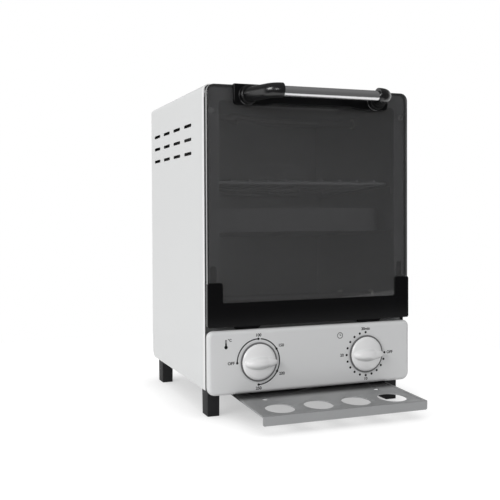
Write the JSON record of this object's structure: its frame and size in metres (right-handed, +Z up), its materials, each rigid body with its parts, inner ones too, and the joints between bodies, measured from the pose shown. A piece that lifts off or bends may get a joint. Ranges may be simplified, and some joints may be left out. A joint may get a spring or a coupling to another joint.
{
  "type": "dry heat sterilizer",
  "caption": "Bench-top hot-air cabinet: smoked-glass door hinged at its lower edge, tube handle, dial panel, short feet and a pull-out sheet tray below.",
  "frame": {"origin": "on the bench under the centre of the cabinet's body, midway between its sides and midway from its front edge to its rear cover", "axes": "+X to the right seen from the front, +Y to the rear, +Z up"},
  "size_m": [0.2266, 0.2707, 0.325],
  "materials": {
    "white_enamel": "gloss",
    "white_plastic": "gloss",
    "black_plastic": "gloss",
    "seal_rubber": "matte",
    "foot_plastic": "matte",
    "smoked_glass": "tinted",
    "bright_tube": "polished",
    "grey_tray": "satin",
    "liner_steel": "satin",
    "plated_steel": "zinc plated",
    "plated_wire": "bright",
    "pan_aluminium": "satin",
    "heater_sheath": "heat-darkened",
    "ceramic": "unglazed",
    "control_plastic": "matte",
    "bell_metal": "satin"
  },
  "bodies": {
    "cabinet": {"base_plate": "plated_steel", "chamber_back": "liner_steel", "chamber_floor": "liner_steel", "chamber_roof": "liner_steel", "chamber_wall_left": "liner_steel", "chamber_wall_right": "liner_steel", "control_panel": "white_plastic", "cord_gland": "control_plastic", "door_spring_left": "plated_steel", "door_spring_right": "plated_steel", "foot_front_left": "foot_plastic", "foot_front_right": "foot_plastic", "foot_rear_left": "foot_plastic", "foot_rear_right": "foot_plastic", "foot_screws": "plated_steel", "frame_screws": "plated_steel", "front_frame": "white_enamel", "heater_bushes": "ceramic", "hinge_bracket_left": "plated_steel", "hinge_bracket_right": "plated_steel", "hinge_pin_left": "plated_steel", "hinge_pin_right": "plated_steel", "lower_heater_front": "heater_sheath", "lower_heater_rear": "heater_sheath", "outer_wrapper": "white_enamel", "panel_screws": "plated_steel", "rear_cover": "white_enamel", "rear_screws": "plated_steel", "shelf_runners_left": "liner_steel", "shelf_runners_right": "liner_steel", "spring_lugs": "plated_steel", "terminal_block": "control_plastic", "thermostat_body": "control_plastic", "timer_bell": "bell_metal", "timer_body": "control_plastic", "tray_runner_left": "plated_steel", "tray_runner_right": "plated_steel", "upper_heater": "heater_sheath"},
    "door": {"door_glass": "smoked_glass", "door_seal": "seal_rubber", "door_lower_bracket": "black_plastic", "door_arm_left": "plated_steel", "door_arm_right": "plated_steel", "handle_plate": "black_plastic", "handle_post_left": "black_plastic", "handle_post_right": "black_plastic", "handle_tube": "bright_tube", "handle_screws": "plated_steel"},
    "temperature_control": {"temperature_knob": "white_plastic", "temperature_knob_ring": "control_plastic", "thermostat_shaft": "plated_steel"},
    "timer_control": {"timer_knob": "white_plastic", "timer_knob_ring": "control_plastic", "timer_shaft": "plated_steel"},
    "tray": {"bottom_tray": "grey_tray"},
    "rack": {"wire_rack": "plated_wire"},
    "pan": {"instrument_pan": "pan_aluminium"}
  },
  "joints": [
    {"name": "door_hinge", "type": "hinge", "parent": "cabinet", "child": "door", "pos_m": [0, -0.1013, 0.0925], "axis": [1, 0, 0], "range_deg": [0, 90], "stiffness_Nm_per_rad": 0.2, "springref_deg": -85.94, "deforming": ["door_spring_left", "door_spring_right"]},
    {"name": "temperature_turn", "type": "hinge", "parent": "cabinet", "child": "temperature_control", "pos_m": [-0.0603, -0.106, 0.053], "axis": [0, 1, 0], "range_deg": [-180, 90]},
    {"name": "timer_turn", "type": "hinge", "parent": "cabinet", "child": "timer_control", "pos_m": [0.0603, -0.106, 0.053], "axis": [0, 1, 0], "range_deg": [0, 270]},
    {"name": "tray_slide", "type": "slide", "parent": "cabinet", "child": "tray", "axis": [0, -0.9991, -0.0419], "range_m": [-0.0684, 0]},
    {"name": "rack_slide", "type": "slide", "parent": "cabinet", "child": "rack", "axis": [0, -1, 0], "range_m": [0, 0.08]},
    {"name": "pan_slide", "type": "slide", "parent": "cabinet", "child": "pan", "axis": [0, -1, 0], "range_m": [0, 0.08]}
  ],
  "couplings": [
    {"joint": "rack_slide", "follows": "door_hinge", "m_per_rad": 0.05},
    {"joint": "pan_slide", "follows": "door_hinge", "m_per_rad": 0.05}
  ]
}
